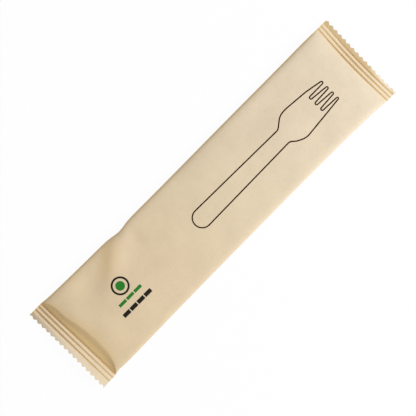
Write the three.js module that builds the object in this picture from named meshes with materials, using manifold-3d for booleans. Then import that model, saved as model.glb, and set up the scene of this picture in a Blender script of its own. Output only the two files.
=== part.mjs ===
// Wrapped wooden fork: a flat wooden fork sealed in a flow-wrapped paper sachet.
// One paper web is folded into a tube, closed down its back by a fin seam that is folded flat,
// and closed at both ends by a crimped seal that a serrated knife has cut through.
// The pack is sealed all round, so the paper and the fork inside it are one solid.
// Units are millimetres. +X runs along the pack towards the tine end, +Y across it, and +Z up:
// the printed face is on top and the back, with its fin, lies on the table.
import * as THREE from "three";
import { LoftGeometry } from "three/addons/geometries/LoftGeometry.js";
import { mergeVertices } from "three/addons/utils/BufferGeometryUtils.js";
import Module from "manifold-3d";

// Paper
const paperThickness = 0.12;

// Pillow between the innermost grooves of the two end seals
const pillowLength = 191.3;
const pillowWidth = 48.3;
const pillowBow = 0.32; // the pack's middle line bends this far towards +Y
const bowFromTine = 55; // distance of the bend's middle from the tine end's grooves
const bowReach = 50;
const foldHeight = 3; // of the two side folds above the table
const crownRise = 0.45; // of the whole printed face above the side folds
const crownFullness = 2; // exponent of the crown's curve across the pack
const shoulderRise = 1.05; // of the shoulders beside the side folds
const shoulderFullness = 16;
const turnRise = 0.9; // where the paper turns over into the side folds
const turnFullness = 80;
const backFlat = 28; // width of the back that lies on the table

// Crimped grooves, the same at both ends
const grooveCount = 3;
const groovePitch = 2.1;
const grooveWidth = 1.55;
const grooveDepth = 0.72;
const bandCurve = 1.3; // exponent: how the flat margins beyond the grooves curl
const sealArch = 0.9; // rise of a seal's middle over its corners
const sealRun = 16; // length over which a seal's arch and its height die out in the pillow

// Serrated knife
const toothPitch = 3.05;
const toothDepth = 1;

// Handle end: a steep wall rises from the seal to a crest, and a long ramp follows
const handleSealWidth = 51.3;
const handleFlareRun = 95; // length over which the side folds draw in
const handleCornerFlare = 0.4; // what they draw in at once, beside the seal
const handleCornerRun = 8;
const handleSealHeight = 1.3; // of the innermost groove's corners above the table
const handleSealTilt = 0.17; // rise of the seal for each mm outward
const handleBand = 2.75; // flat margin between the grooves and the cut
const handleBandLift = 0.5; // of the margin's cut edge
const handleBandTwist = -0.35; // extra lift at the +Y corner
const handleGrooveSkew = -0.55; // lead of the +Y corner over the middle, along X
const handleCutSkew = -0.65;
const handleCutBow = -0.45; // lead of both corners over the middle, along X
const handleWallRun = 3.8;
const handleWallRise = 1.75;
const handleRampRun = 22;
const wallLean = 1.3; // exponent: how far the wall's steepest part lies towards its crest
const wallShareAtFold = 0.3; // what is left of the wall's run where it meets a side fold
const crescentRun = 2.8; // extra run of the wall where a crescent dent widens it
const crescentFromFold = 13; // distance of its middle from the -Y side fold
const crescentReach = 13.5; // half its length across the pack

// Tine end: the printed face slopes gently into the seal
const tineSealWidth = 49.6;
const tineSealShift = -0.45; // of the seal's middle towards -Y
const tineShiftRun = 14;
const tineFlareRun = 50;
const tineSealHeight = 2.6;
const tineSealTilt = -0.18;
const tineBand = 2.3;
const tineBandLift = 1.5;
const tineLiftStart = -0.65; // share of the width where the lift begins
const tineLiftWhole = 0; // share of the width where it is whole
const tineGrooveSkew = 0.42;
const tineGrooveBow = 0.85;
const tineCutSkew = 0.75;
const tineCutBow = 0.35;
const tineRampRun = 16;

// Fin seam down the back, folded flat towards -Y
const finWidth = 10;
const finGap = 0.3; // air under the folded fin
const finSealGap = 0.06; // what is left of it where the end seals press it
const finRoot = 0.4; // width of the paper's turn at the seam
const backRampRun = 16; // length over which the back leaves the table
const finRideRun = 6; // width over which the back comes down again beside the fin

// Pinch in the +Y side fold, with a soft fold that runs from it across the printed face
const pinchFromHandle = 52.5; // distance from the handle end's grooves
const pinchDepth = 1;
const pinchReach = 5.2;
const softFoldOffset = 4; // from the pinch to the soft fold's start, towards the handle end
const softFoldInset = 2; // of its start from the side fold
const softFoldRun = 15; // its length along X, towards the handle end
const softFoldDrop = 13; // its length across, towards -Y
const softFoldRise = 0.75;
const softFoldSteep = 3.6; // half width of its flank towards the handle end
const softFoldGentle = 7; // half width of its flank towards the tine end
const softFoldPeak = 0.4; // share of its length where it stands highest
const softFoldFade = 0.65; // share of its length over which it dies out

// Shallow dents in the printed face: distance of the centre from the handle end's grooves and
// from the +Y side fold, depth, and half length along X and across
const dents = [
  { fromHandle: 56, inset: 8, depth: 0.45, along: 3.6, across: 6 },
  { fromHandle: 144.5, inset: 6, depth: 0.2, along: 4, across: 4 },
  { fromHandle: 165.5, inset: 5, depth: 0.25, along: 3.5, across: 4 },
];

const kraftPaper = new THREE.MeshStandardMaterial({
  name: "kraft_paper",
  color: 0xdcc9a6,
  roughness: 0.72,
  metalness: 0,
});

// Smoothness of the loft: stations along each stretch, and steps across each panel
const grooveShares = [-0.5, -0.25, 0, 0.25, 0.5]; // of a groove's width, from its bottom
const handleBandStations = 3;
const wallStations = 6;
const handleRampStations = 8;
const pillowStations = 42;
const tineRampStations = 8;
const tineBandStations = 2;
const faceSteps = 10; // across each half of the printed face
const finSteps = 3;
const ridingSteps = 6; // across the back panel beside the fin
const freeSteps = 8; // across the back panel on the other side of the seam

const crimpRun = (grooveCount - 1) * groovePitch + grooveWidth / 2;
const crownWhole = crownRise + shoulderRise + turnRise;
const handleX = -pillowLength / 2;
const tineX = pillowLength / 2;
const foldY = pillowWidth / 2;
const clamp = THREE.MathUtils.clamp;
const bell = (distance, reach) => Math.exp(-((distance / reach) ** 2));
const easeOut = (share, power = 2) => 1 - (1 - clamp(share, 0, 1)) ** power;
const smoothStep = (share) => THREE.MathUtils.smoothstep(share, 0, 1);
const crowdOutward = (share) => Math.sin((share * Math.PI) / 2);
const crowdInward = (share) => share ** 1.6;

// Lines across the pack. Each gives X for a share s of the width, from -1 at the -Y side fold
// to +1 at the +Y side fold.
const handleInner = (s) => handleX + handleGrooveSkew * s;
const handleOuter = (s) => handleInner(s) - crimpRun;
const handleCut = (s) => handleOuter(0) - handleBand + handleCutSkew * s + handleCutBow * s * s;
const tineInner = (s) => tineX + tineGrooveSkew * s + tineGrooveBow * s * s;
const tineOuter = (s) => tineInner(s) + crimpRun;
const tineCut = (s) => tineOuter(0) + tineBand + tineCutSkew * s + tineCutBow * s * s;
const handleRampEnd = () => handleX + handleRampRun;
const tineRampStart = () => tineX - tineRampRun;

// Run of the steep wall, which the crescent dent widens and which closes to a point at each fold.
function wallRun(s) {
  const fromCentre = (s * foldY + foldY - crescentFromFold) / crescentReach;
  const crescent = Math.max(0, 1 - fromCentre ** 2);
  const closing = 1 - (1 - wallShareAtFold) * s ** 8;
  return (handleWallRun + crescentRun * crescent) * closing;
}
const handleCrest = (s) => handleInner(s) + wallRun(s);
const handleGrooveEdge = (s) => handleInner(s) + grooveWidth / 2;
const tineGrooveEdge = (s) => tineInner(s) - grooveWidth / 2;

// Half width of the pack at x, which flares out to each seal, and the Y of its middle line.
function flare(x) {
  const fromHandle = x - handleX;
  const fromTine = tineX - x;
  const handleFlare = (handleSealWidth - pillowWidth) / 2 - handleCornerFlare;
  const tineFlare = (tineSealWidth - pillowWidth) / 2;
  const half = foldY
    + handleFlare * (1 - easeOut(fromHandle / handleFlareRun))
    + handleCornerFlare * (1 - easeOut(fromHandle / handleCornerRun))
    + tineFlare * (1 - easeOut(fromTine / tineFlareRun));
  const bow = pillowBow * bell(fromTine - bowFromTine, bowReach);
  const shift = tineSealShift * (1 - easeOut(fromTine / tineShiftRun));
  return { half, middle: bow + shift };
}

function yAt(x, s) {
  const { half, middle } = flare(x);
  const pinch = pinchDepth * bell(x - handleX - pinchFromHandle, pinchReach);
  return middle + half * s - (s > 0 ? pinch * s ** 3 : 0);
}

// Height of the crimped sheet, down from its crests: narrow grooves in a flat sheet.
function crimp(x, s) {
  const outward = Math.max(handleInner(s) - x, x - tineInner(s));
  const nearest = clamp(Math.round(outward / groovePitch), 0, grooveCount - 1) * groovePitch;
  const fromGroove = Math.abs(outward - nearest);
  if (fromGroove > grooveWidth / 2) return 0;
  return -grooveDepth * Math.cos((Math.PI * fromGroove) / grooveWidth) ** 2;
}

// Rise of the flat margins beyond the grooves towards their serrated edges.
function curl(x, s) {
  const handleShare = Math.max(0, (handleOuter(s) - x) / handleBand);
  const tineShare = Math.max(0, (x - tineOuter(s)) / tineBand);
  const handleLift = handleBandLift + handleBandTwist * s;
  const liftShare = (s - tineLiftStart) / (tineLiftWhole - tineLiftStart);
  const tineLift = tineBandLift * smoothStep(liftShare);
  return handleLift * handleShare ** bandCurve + tineLift * tineShare ** bandCurve;
}

// Middle plane of the web, where the top and the back of the pack meet in the seals and folds.
function webHeight(x, s) {
  const fromHandle = x - handleInner(s);
  const fromTine = tineInner(s) - x;
  const inSeal = 1 - easeOut(Math.min(fromHandle, fromTine) / sealRun, 3);
  const sealHeight = fromHandle < fromTine ? handleSealHeight : tineSealHeight;
  const tilt = handleSealTilt * Math.max(0, -fromHandle) + tineSealTilt * Math.max(0, -fromTine);
  const arch = sealArch * (1 - s * s);
  const level = foldHeight + (sealHeight - foldHeight + arch) * inSeal;
  return level + tilt + crimp(x, s) + curl(x, s);
}

// How full the pillow stands at x, from 0 in a seal to 1 in the body.
function fullness(x, s) {
  const inside = x - handleInner(s);
  const wall = smoothStep(clamp(inside / wallRun(s), 0, 1) ** wallLean);
  const ramp = easeOut(inside / handleRampRun, 3);
  const wallShare = handleWallRise / crownWhole;
  const fromTine = easeOut((tineInner(s) - x) / tineRampRun, 3);
  return (wallShare * wall + (1 - wallShare) * ramp) * fromTine;
}

// Soft fold from the pinch: steep towards the handle end, gentle towards the tine end.
function softFold(x, y) {
  const startX = handleX + pinchFromHandle - softFoldOffset;
  const startY = foldY - softFoldInset;
  const length = Math.hypot(softFoldRun, softFoldDrop);
  const along = new THREE.Vector2(-softFoldRun / length, -softFoldDrop / length);
  const offset = new THREE.Vector2(x - startX, y - startY);
  const travelled = offset.dot(along) / length;
  const sideways = along.cross(offset);
  const flank = sideways < 0 ? softFoldSteep : softFoldGentle;
  return softFoldRise * bell(sideways, flank) * bell(travelled - softFoldPeak, softFoldFade);
}

// Height of the printed face. Its soft fold and dents die out at the side folds.
function printedFace(x, s) {
  const across = Math.abs(s);
  const crown = crownRise * (1 - across ** crownFullness)
    + shoulderRise * (1 - across ** shoulderFullness)
    + turnRise * (1 - across ** turnFullness);
  const y = yAt(x, s);
  let relief = softFold(x, y);
  for (const dent of dents) {
    const fromCentre = x - handleX - dent.fromHandle;
    const inward = foldY - y - dent.inset;
    relief -= dent.depth * bell(fromCentre, dent.along) * bell(inward, dent.across);
  }
  return webHeight(x, s) + paperThickness + crown * fullness(x, s) + relief * (1 - s ** 8);
}

// How far the back has come down to the table at x, from 0 in a seal to 1 in the body.
function backDown(x, s) {
  const inside = Math.min(x - handleInner(s), tineInner(s) - x);
  return easeOut(inside / backRampRun, 3);
}

// Height of the back without its fin: flat on the table in the middle, up to the folds beside it.
function backFace(x, s) {
  const flatShare = backFlat / pillowWidth;
  const beyond = Math.max(0, (Math.abs(s) - flatShare) / (1 - flatShare));
  return (webHeight(x, s) - paperThickness) * (1 - (1 - beyond ** 2) * backDown(x, s));
}

// The fin: two plies, with a gap between it and the back panel that rides over it.
function finLayers(x, s) {
  const down = backDown(x, s);
  const gap = finSealGap + (finGap - finSealGap) * down;
  const stack = gap + 2 * paperThickness;
  const fromSeam = yAt(x, 0) - yAt(x, s);
  const ride = easeOut(1 - (fromSeam - finWidth) / finRideRun);
  const panel = backFace(x, s) + stack * down * ride;
  return { panel, upper: panel - gap, lower: panel - stack };
}

// One closed ring of the loft: the printed face from +Y to -Y, the -Y half of the back with the
// fin under it, and the +Y half of the back. acrossLine gives X for each share of the width.
function ring(acrossLine) {
  const points = [];
  const add = (s, height) => {
    const x = acrossLine(s);
    points.push(new THREE.Vector3(x, yAt(x, s), height(x, s)));
  };
  for (let i = faceSteps; i >= -faceSteps; i--) add(crowdOutward(i / faceSteps), printedFace);
  const { half } = flare(acrossLine(0));
  const finShare = finWidth / half;
  const rootShare = finRoot / half;
  const panel = (x, s) => finLayers(x, s).panel;
  const upper = (x, s) => finLayers(x, s).upper;
  const lower = (x, s) => finLayers(x, s).lower;
  const beside = (i) => -1 + (1 - finShare) * (i / ridingSteps);
  const overFin = (i) => -finShare + (finShare - rootShare) * (i / finSteps);
  const free = (i) => rootShare + (1 - rootShare) * crowdOutward(i / freeSteps);
  for (let i = 0; i < ridingSteps; i++) add(beside(i), panel);
  for (let i = 0; i <= finSteps; i++) add(overFin(i), panel);
  for (let i = finSteps; i >= 0; i--) add(overFin(i), upper);
  for (let i = 0; i <= finSteps; i++) add(overFin(i), lower);
  for (let i = 0; i <= freeSteps; i++) add(free(i), backFace);
  return points;
}

// Distances of the stations over the grooves, outward from the bottom of the innermost groove: each
// groove's edges, flanks and bottom.
function grooveOffsets() {
  const offsets = [];
  for (let i = 0; i < grooveCount; i++) {
    for (const share of grooveShares) offsets.push(i * groovePitch + share * grooveWidth);
  }
  return offsets;
}

// The stations of the loft, from the handle end to the tine end. The web runs on past each cut
// line by a tooth, which the knife takes off.
function stations() {
  const rings = [];
  const between = (from, to, steps, spread = (share) => share) => {
    for (let i = 0; i < steps; i++) {
      const share = spread(i / steps);
      rings.push(ring((s) => from(s) + (to(s) - from(s)) * share));
    }
  };
  const overGrooves = (inner, outward, offsets) => {
    for (const offset of offsets) rings.push(ring((s) => inner(s) + outward * offset));
  };
  const handleStock = (s) => handleCut(s) - toothDepth;
  const tineStock = (s) => tineCut(s) + toothDepth;
  between(handleStock, handleCut, 1);
  between(handleCut, handleOuter, handleBandStations);
  overGrooves(handleInner, -1, grooveOffsets().slice(1).reverse());
  between(handleGrooveEdge, handleCrest, wallStations);
  between(handleCrest, handleRampEnd, handleRampStations, crowdInward);
  between(handleRampEnd, tineRampStart, pillowStations);
  between(tineRampStart, tineGrooveEdge, tineRampStations);
  overGrooves(tineInner, 1, grooveOffsets().slice(0, -1));
  between(tineOuter, tineCut, tineBandStations);
  between(tineCut, tineStock, 1);
  rings.push(ring(tineStock));
  return rings;
}

// The knife: everything beyond a zigzag edge that follows the cut line across the web.
function knife(cutLine, outward, webWidth) {
  const teeth = Math.ceil(webWidth / toothPitch) + 2;
  const halfSpan = (teeth * toothPitch) / 2;
  const backX = cutLine(0) + outward * webWidth;
  const shape = new THREE.Shape();
  shape.moveTo(backX, -halfSpan);
  for (let i = 0; i <= 2 * teeth; i++) {
    const y = -halfSpan + (i * toothPitch) / 2;
    const valley = i % 2 === 1 ? outward * toothDepth : 0;
    shape.lineTo(cutLine(y / (webWidth / 2)) - valley, y);
  }
  shape.lineTo(backX, halfSpan);
  shape.closePath();
  const height = 2 * (foldHeight + crownWhole);
  const geometry = new THREE.ExtrudeGeometry(shape, { depth: 2 * height, bevelEnabled: false });
  return geometry.translate(0, 0, -height);
}

const wasm = await Module();
wasm.setup();

const weldDistance = 1e-4;

function solidFrom(geometry) {
  const bare = new THREE.BufferGeometry();
  bare.setAttribute("position", geometry.attributes.position);
  bare.setIndex(geometry.index);
  const welded = mergeVertices(bare, weldDistance);
  return new wasm.Manifold(new wasm.Mesh({
    numProp: 3,
    vertProperties: welded.attributes.position.array,
    triVerts: new Uint32Array(welded.index.array),
  }));
}

function geometryFrom(solid) {
  const mesh = solid.getMesh();
  const geometry = new THREE.BufferGeometry();
  geometry.setAttribute("position", new THREE.BufferAttribute(mesh.vertProperties, 3));
  geometry.setIndex(new THREE.BufferAttribute(mesh.triVerts, 1));
  geometry.computeVertexNormals();
  return geometry;
}

// Sets the geometry's lowest point on z = 0 and the middle of its outline at the origin.
function standOnOrigin(geometry) {
  geometry.computeBoundingBox();
  const { min, max } = geometry.boundingBox;
  return geometry.translate(-(min.x + max.x) / 2, -(min.y + max.y) / 2, -min.z);
}

function sachetGeometry() {
  const web = solidFrom(new LoftGeometry(stations(), { closed: true, capStart: true, capEnd: true }));
  const cut = web
    .subtract(solidFrom(knife(handleCut, -1, handleSealWidth)))
    .subtract(solidFrom(knife(tineCut, 1, tineSealWidth)));
  return standOnOrigin(geometryFrom(cut));
}

const wrappedFork = new THREE.Mesh(sachetGeometry(), kraftPaper);
wrappedFork.name = "wrapped_fork";

const pack = new THREE.Group();
pack.add(wrappedFork);

export default pack;
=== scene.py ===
"""Wrapped wooden fork: a flow-wrapped kraft paper sachet with crimped, serrated ends.

The paper is one mesh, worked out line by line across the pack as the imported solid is, with finer
grooves, teeth and folds than the solid has. The print is thin ink on it. Shapes are worked out in
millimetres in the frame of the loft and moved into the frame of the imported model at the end.
"""
import math

import bpy
import numpy as np
from mathutils import Matrix, Vector


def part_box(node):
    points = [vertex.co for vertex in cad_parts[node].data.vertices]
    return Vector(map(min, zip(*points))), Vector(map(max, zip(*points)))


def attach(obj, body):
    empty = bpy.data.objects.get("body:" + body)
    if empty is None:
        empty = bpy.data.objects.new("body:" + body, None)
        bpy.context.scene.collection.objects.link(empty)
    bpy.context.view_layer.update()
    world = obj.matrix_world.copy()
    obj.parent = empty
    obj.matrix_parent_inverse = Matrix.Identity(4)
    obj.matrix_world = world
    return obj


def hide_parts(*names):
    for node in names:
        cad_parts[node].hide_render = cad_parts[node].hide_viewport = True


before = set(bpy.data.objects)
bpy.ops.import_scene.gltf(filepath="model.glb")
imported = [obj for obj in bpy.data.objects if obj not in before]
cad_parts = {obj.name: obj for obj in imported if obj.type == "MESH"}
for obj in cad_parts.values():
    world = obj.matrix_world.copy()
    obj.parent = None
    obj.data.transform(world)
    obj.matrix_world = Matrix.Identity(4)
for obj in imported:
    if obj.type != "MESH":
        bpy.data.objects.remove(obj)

MM = 0.001

# Paper
PAPER_THICKNESS = 0.12
SHARP_PAPER = 50  # degrees between two faces, beyond which the edge between them shows as sharp

# Powers of an eased slope: the higher, the more of it lies at its start
EASY = 2
BRISK = 3

# Pillow between the innermost grooves of the two end seals, before the grooves' own shifts
PILLOW_LENGTH = 191.3
PILLOW_WIDTH = 48.4
PILLOW_BOW = 0.32  # the pack's middle line bends this far towards +Y
BOW_FROM_TINE = 55.0
BOW_REACH = 50.0
MIDDLE_Y = -0.16  # of the pack's middle line before it bends
FOLD_HEIGHT = 3.0
CROWN_RISE = 0.45  # of the whole printed face
CROWN_FULLNESS = 2  # exponents across the pack: the higher, the nearer to its fold a curve turns down
SHOULDER_RISES = (0.85, 1.05)  # of the shoulders at the -Y fold and at the +Y fold
SHOULDER_FULLNESS = (22, 16)
TURN_RISES = (0.5, 0.75)  # where the paper turns over into the side folds
TURN_FULLNESS = 80
FACE_RISE = CROWN_RISE + (sum(SHOULDER_RISES) + sum(TURN_RISES)) / 2  # in the middle
RELIEF_FULLNESS = 8  # the same exponent, for the dents and waves in the printed face
BACK_FLAT = 28.0

# Crimped grooves
GROOVE_COUNT = 3
HANDLE_GROOVE_PITCH = 2.2
TINE_GROOVE_PITCH = 2.1
GROOVE_WIDTH = 1.55
HANDLE_GROOVE_WIDTHS = (1.5, 1.95)  # at the -Y fold and at the +Y fold
HANDLE_GROOVE_DEPTHS = (0.5, 1.3, 0.95)  # at the -Y fold, at the share below and at the +Y fold
DEEPEST_GROOVE = 0.8  # share of the width where the handle end's grooves are deepest
TINE_GROOVE_DEPTH = 0.48  # at the folds
TINE_GROOVE_BELLY = 0.6  # extra depth in the middle
BAND_CURVE = 1.1  # exponent: how the flat margins beyond the grooves curl
SEAL_ARCH = 0.9
SEAL_RUN = 16.0  # length over which a seal's arch and its height die out in the pillow

# Serrated knife
TOOTH_PITCH = 3.05
TOOTH_DEPTH = 1.0

# Handle end: a steep wall rises from the seal to a crest
HANDLE_SEAL_WIDTH = 51.3
HANDLE_FLARE_RUN = 95.0
HANDLE_CORNER_FLARE = 0.4
HANDLE_CORNER_RUN = 8.0
HANDLE_SHIFT = 0.17  # of the seal towards +Y, which dies out over its run
HANDLE_SHIFT_RUN = 25.0
HANDLE_SEAL_HEIGHT = 1.3
HANDLE_SEAL_TILT = 0.2  # rise of the seal for each mm outward
HANDLE_TILT_TWIST = -0.2  # extra rise for each mm at the +Y corner
HANDLE_BAND = 2.75
HANDLE_BAND_LIFT = 0.62
HANDLE_BAND_TWIST = -1.35  # extra lift at the +Y corner
HANDLE_BAND_DROOP = 0.5  # how far the margin bends down again at its edge
HANDLE_GROOVE_SHIFT = 0.2  # of the innermost groove into the pillow
HANDLE_GROOVE_SKEW = -0.5
HANDLE_CUT_SKEW = -0.65
HANDLE_CUT_BOW = -0.45
HANDLE_WALL_RUN = 4.3
HANDLE_WALL_RISE = 1.75
HANDLE_RAMP_RUN = 22.0
WALL_LEAN = 1.7  # exponent: how far the wall's steepest part lies towards its crest
WALL_SHARE_AT_FOLD = 0.3
WALL_FULLNESS = 8  # exponent: how near to the folds the wall's run narrows to that share
CRESCENT_RUN = 2.5
CRESCENT_FROM_FOLD = 18.5
CRESCENT_REACH = 17.0

# Tine end: the printed face slopes gently into the seal
TINE_SEAL_WIDTH = 49.6
TINE_SEAL_SHIFT = -0.45
TINE_SHIFT_RUN = 14.0
TINE_FLARE_RUN = 60.0
TINE_SEAL_HEIGHT = 2.6
TINE_SEAL_RISE = 0.5  # extra height of the seal at its -Y corner
TINE_SEAL_TILT = -0.18
TINE_BAND = 2.15
TINE_BAND_LIFT = 1.7
TINE_BAND_DROOP = 0.6
TINE_LIFT_START = -0.7  # share of the width where the lift begins, and where it is whole
TINE_LIFT_WHOLE = -0.2
TINE_CORNER = -0.82  # share of the width beyond which the -Y corner of the margin lifts
TINE_CORNER_LIFT = 0.9
TINE_GROOVE_SHIFT = 0.15  # of the grooves away from the pillow
TINE_GROOVE_SKEW = 0.55
TINE_GROOVE_BOW = 0.75
TINE_CUT_SKEW = 0.62
TINE_CUT_BOW = 0.35
TINE_RAMP_RUN = 14.0

# Fin seam down the back, folded flat towards -Y
FIN_WIDTH = 10.0
FIN_GAP = 0.3
FIN_SEAL_GAP = 0.06
FIN_ROOT = 0.4
BACK_RAMP_RUN = 16.0
FIN_RIDE_RUN = 6.0

# Pinch in the +Y side fold, with the soft fold that runs from it
PINCH_FROM_HANDLE = 52.5
PINCH_DEPTH = 1.0
PINCH_REACH = 5.2
TUCK_FROM_HANDLE = 4.0  # tuck in the -Y side fold at the end of the crescent
TUCK_DEPTH = 0.35
TUCK_REACH = 3.0
PINCH_TAPER = 3  # exponent: how fast the pinch and the tuck die out across the pack
SOFT_FOLD_OFFSET = 4.0
SOFT_FOLD_INSET = 2.0
SOFT_FOLD_RUN = 15.0
SOFT_FOLD_DROP = 13.0
SOFT_FOLD_RISE = 1.4
SOFT_FOLD_STEEP = 4.6
SOFT_FOLD_GENTLE = 7.0
SOFT_FOLD_PEAK = 0.4
SOFT_FOLD_FADE = 0.65

# Shallow dents, and rises with a negative depth: (distance from the handle grooves, inset from the
# +Y fold, depth, half length along the pack, half width across it)
DENTS = [
    (56.0, 8.0, 0.45, 3.6, 6.0),
    (24.0, 9.0, 1.0, 8.0, 8.0),
    (106.5, 10.0, -0.5, 9.0, 8.0),
    (142.5, 11.0, 0.5, 8.0, 6.0),
    (142.5, 25.0, -0.35, 7.0, 6.0),
    (156.5, 38.0, 0.35, 6.0, 6.0),
    (144.5, 6.0, 0.2, 4.0, 4.0),
    (165.5, 5.0, 0.25, 3.5, 4.0),
    (14.0, 29.0, -0.5, 6.0, 9.0),
    (30.0, 31.0, -0.5, 15.0, 12.0),
    (8.0, 13.0, -0.5, 5.0, 8.0),
    (66.0, 28.0, -0.4, 28.0, 15.0),
]

# Low waves that damp air leaves in the paper: (wave length, direction in degrees, phase, height)
COCKLES = [
    (34.0, 12.0, 0.4, 0.05),
    (23.0, 74.0, 2.1, 0.04),
    (17.0, -38.0, 4.0, 0.025),
    (11.0, 55.0, 1.2, 0.012),
]

# Ink
INK_RISE = 0.03  # of the ink's face above the paper, so that the two never fight for a pixel
INK_DEPTH = 0.02  # of its underside in the paper
INK_STEP = 0.4
ARC_STEPS = 3  # at least, for each rounded corner
SHARP_INK = 40  # degrees

HANDLE_CRIMP_RUN = (GROOVE_COUNT - 1) * HANDLE_GROOVE_PITCH + GROOVE_WIDTH / 2
TINE_CRIMP_RUN = (GROOVE_COUNT - 1) * TINE_GROOVE_PITCH + GROOVE_WIDTH / 2
HANDLE_X = -PILLOW_LENGTH / 2
TINE_X = PILLOW_LENGTH / 2
FOLD_Y = PILLOW_WIDTH / 2


def bell(distance, reach):
    """1 at no distance, dying out to 0 beyond its reach."""
    return np.exp(-((distance / reach) ** 2))


def ease_out(share, power=EASY):
    """From 0 to 1, steepest at the start and level at the end."""
    return 1 - (1 - np.clip(share, 0, 1)) ** power


def smooth_step(share):
    """From 0 to 1, level at both ends."""
    share = np.clip(share, 0, 1)
    return share * share * (3 - 2 * share)


def by_side(s, values):
    """A value that changes evenly across the pack, from the -Y fold to the +Y fold."""
    return np.interp(s, (-1, 1), values)


def by_end(x, at_handle, at_tine):
    """The value for the pack's handle half or for its tine half."""
    return np.where(x < 0, at_handle, at_tine)


# Lines across the pack: X for a share s of the width, from -1 at the -Y fold to +1 at the +Y fold
def handle_inner(s):
    """Bottom of the handle end's innermost groove."""
    return HANDLE_X + HANDLE_GROOVE_SHIFT + HANDLE_GROOVE_SKEW * s


def handle_outer(s):
    """Outer edge of its outermost groove."""
    return handle_inner(s) - HANDLE_CRIMP_RUN


def handle_cut(s):
    """Tips of the knife's teeth at the handle end."""
    return handle_outer(0) - HANDLE_BAND + HANDLE_CUT_SKEW * s + HANDLE_CUT_BOW * s * s


def tine_inner(s):
    """Bottom of the tine end's innermost groove."""
    return TINE_X + TINE_GROOVE_SHIFT + TINE_GROOVE_SKEW * s + TINE_GROOVE_BOW * s * s


def tine_outer(s):
    """Outer edge of its outermost groove."""
    return tine_inner(s) + TINE_CRIMP_RUN


def tine_cut(s):
    """Tips of the knife's teeth at the tine end."""
    return tine_outer(0) + TINE_BAND + TINE_CUT_SKEW * s + TINE_CUT_BOW * s * s


def wall_run(s):
    """Run of the steep wall, which the crescent dent widens."""
    from_centre = (s * FOLD_Y + FOLD_Y - CRESCENT_FROM_FOLD) / CRESCENT_REACH
    crescent = np.maximum(0, 1 - from_centre ** 2)
    closing = 1 - (1 - WALL_SHARE_AT_FOLD) * s ** WALL_FULLNESS
    return (HANDLE_WALL_RUN + CRESCENT_RUN * crescent) * closing


def handle_crest(s):
    """Top of the steep wall."""
    return handle_inner(s) + wall_run(s)


def ramp_end(s):
    """Where the printed face reaches its full height."""
    return HANDLE_X + HANDLE_RAMP_RUN + 0 * s


def ramp_start(s):
    """Where it begins to slope down to the tine end."""
    return TINE_X - TINE_RAMP_RUN + 0 * s


def tooth_inset(y):
    """How deep the knife's zigzag cuts in at y: nothing at a tip, the whole tooth in a valley."""
    from_valley = np.abs((y / TOOTH_PITCH + 0.5) % 1 - 0.5)
    return TOOTH_DEPTH * (1 - 2 * from_valley)


def handle_edge(s):
    """The serrated cut at the handle end."""
    return handle_cut(s) + tooth_inset(y_at(handle_cut(s), s))


def tine_edge(s):
    """The serrated cut at the tine end."""
    return tine_cut(s) - tooth_inset(y_at(tine_cut(s), s))


def flare(x):
    """Half width of the pack at x and the Y of its middle line."""
    from_handle = x - HANDLE_X
    from_tine = TINE_X - x
    handle_flare = (HANDLE_SEAL_WIDTH - PILLOW_WIDTH) / 2 - HANDLE_CORNER_FLARE
    tine_flare = (TINE_SEAL_WIDTH - PILLOW_WIDTH) / 2
    half = FOLD_Y + handle_flare * (1 - ease_out(from_handle / HANDLE_FLARE_RUN))
    half = half + HANDLE_CORNER_FLARE * (1 - ease_out(from_handle / HANDLE_CORNER_RUN))
    half = half + tine_flare * (1 - ease_out(from_tine / TINE_FLARE_RUN, BRISK))
    bow = PILLOW_BOW * bell(from_tine - BOW_FROM_TINE, BOW_REACH)
    shift = TINE_SEAL_SHIFT * (1 - ease_out(from_tine / TINE_SHIFT_RUN))
    shift = shift + HANDLE_SHIFT * (1 - ease_out(from_handle / HANDLE_SHIFT_RUN))
    return half, MIDDLE_Y + bow + shift


def y_at(x, s):
    """Y for a share s of the width, with the pinch and the tuck in the side folds."""
    half, middle = flare(x)
    from_handle = x - HANDLE_X
    pinch = PINCH_DEPTH * bell(from_handle - PINCH_FROM_HANDLE, PINCH_REACH)
    tuck = TUCK_DEPTH * bell(from_handle - TUCK_FROM_HANDLE, TUCK_REACH)
    return middle + half * s - np.where(s > 0, pinch, tuck) * s ** PINCH_TAPER


SHARE_ROUNDS = 3  # after which y_at turns a point's share back into its Y


def share_at(x, y):
    """The share s of the width at a point of the printed face."""
    half, middle = flare(x)
    s = (y - middle) / half
    for _ in range(SHARE_ROUNDS):
        s = s + (y - y_at(x, s)) / half
    return s


def groove_share(x, s):
    """1 at the bottom of each crimped groove and 0 on the crests between them."""
    outward = np.maximum(handle_inner(s) - x, x - tine_inner(s))
    pitch = by_end(x, HANDLE_GROOVE_PITCH, TINE_GROOVE_PITCH)
    nearest = np.clip(np.round(outward / pitch), 0, GROOVE_COUNT - 1) * pitch
    from_groove = np.abs(outward - nearest)
    width = by_end(x, by_side(s, HANDLE_GROOVE_WIDTHS), GROOVE_WIDTH)
    return np.where(from_groove < width / 2, np.cos(math.pi * from_groove / width) ** 2, 0)


def crimp(x, s):
    """Height of the crimped sheet, down from its crests."""
    at_handle = np.interp(s, (-1, DEEPEST_GROOVE, 1), HANDLE_GROOVE_DEPTHS)
    at_tine = TINE_GROOVE_DEPTH + TINE_GROOVE_BELLY * (1 - s * s) ** 2
    return -by_end(x, at_handle, at_tine) * groove_share(x, s)


def tine_lift_share(s):
    """How much of its lift the tine end's margin has across the pack."""
    return smooth_step((s - TINE_LIFT_START) / (TINE_LIFT_WHOLE - TINE_LIFT_START))


def tine_corner_share(s):
    """How much of its lift the margin's -Y corner has."""
    return smooth_step((s - TINE_CORNER) / (-1 - TINE_CORNER))


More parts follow.
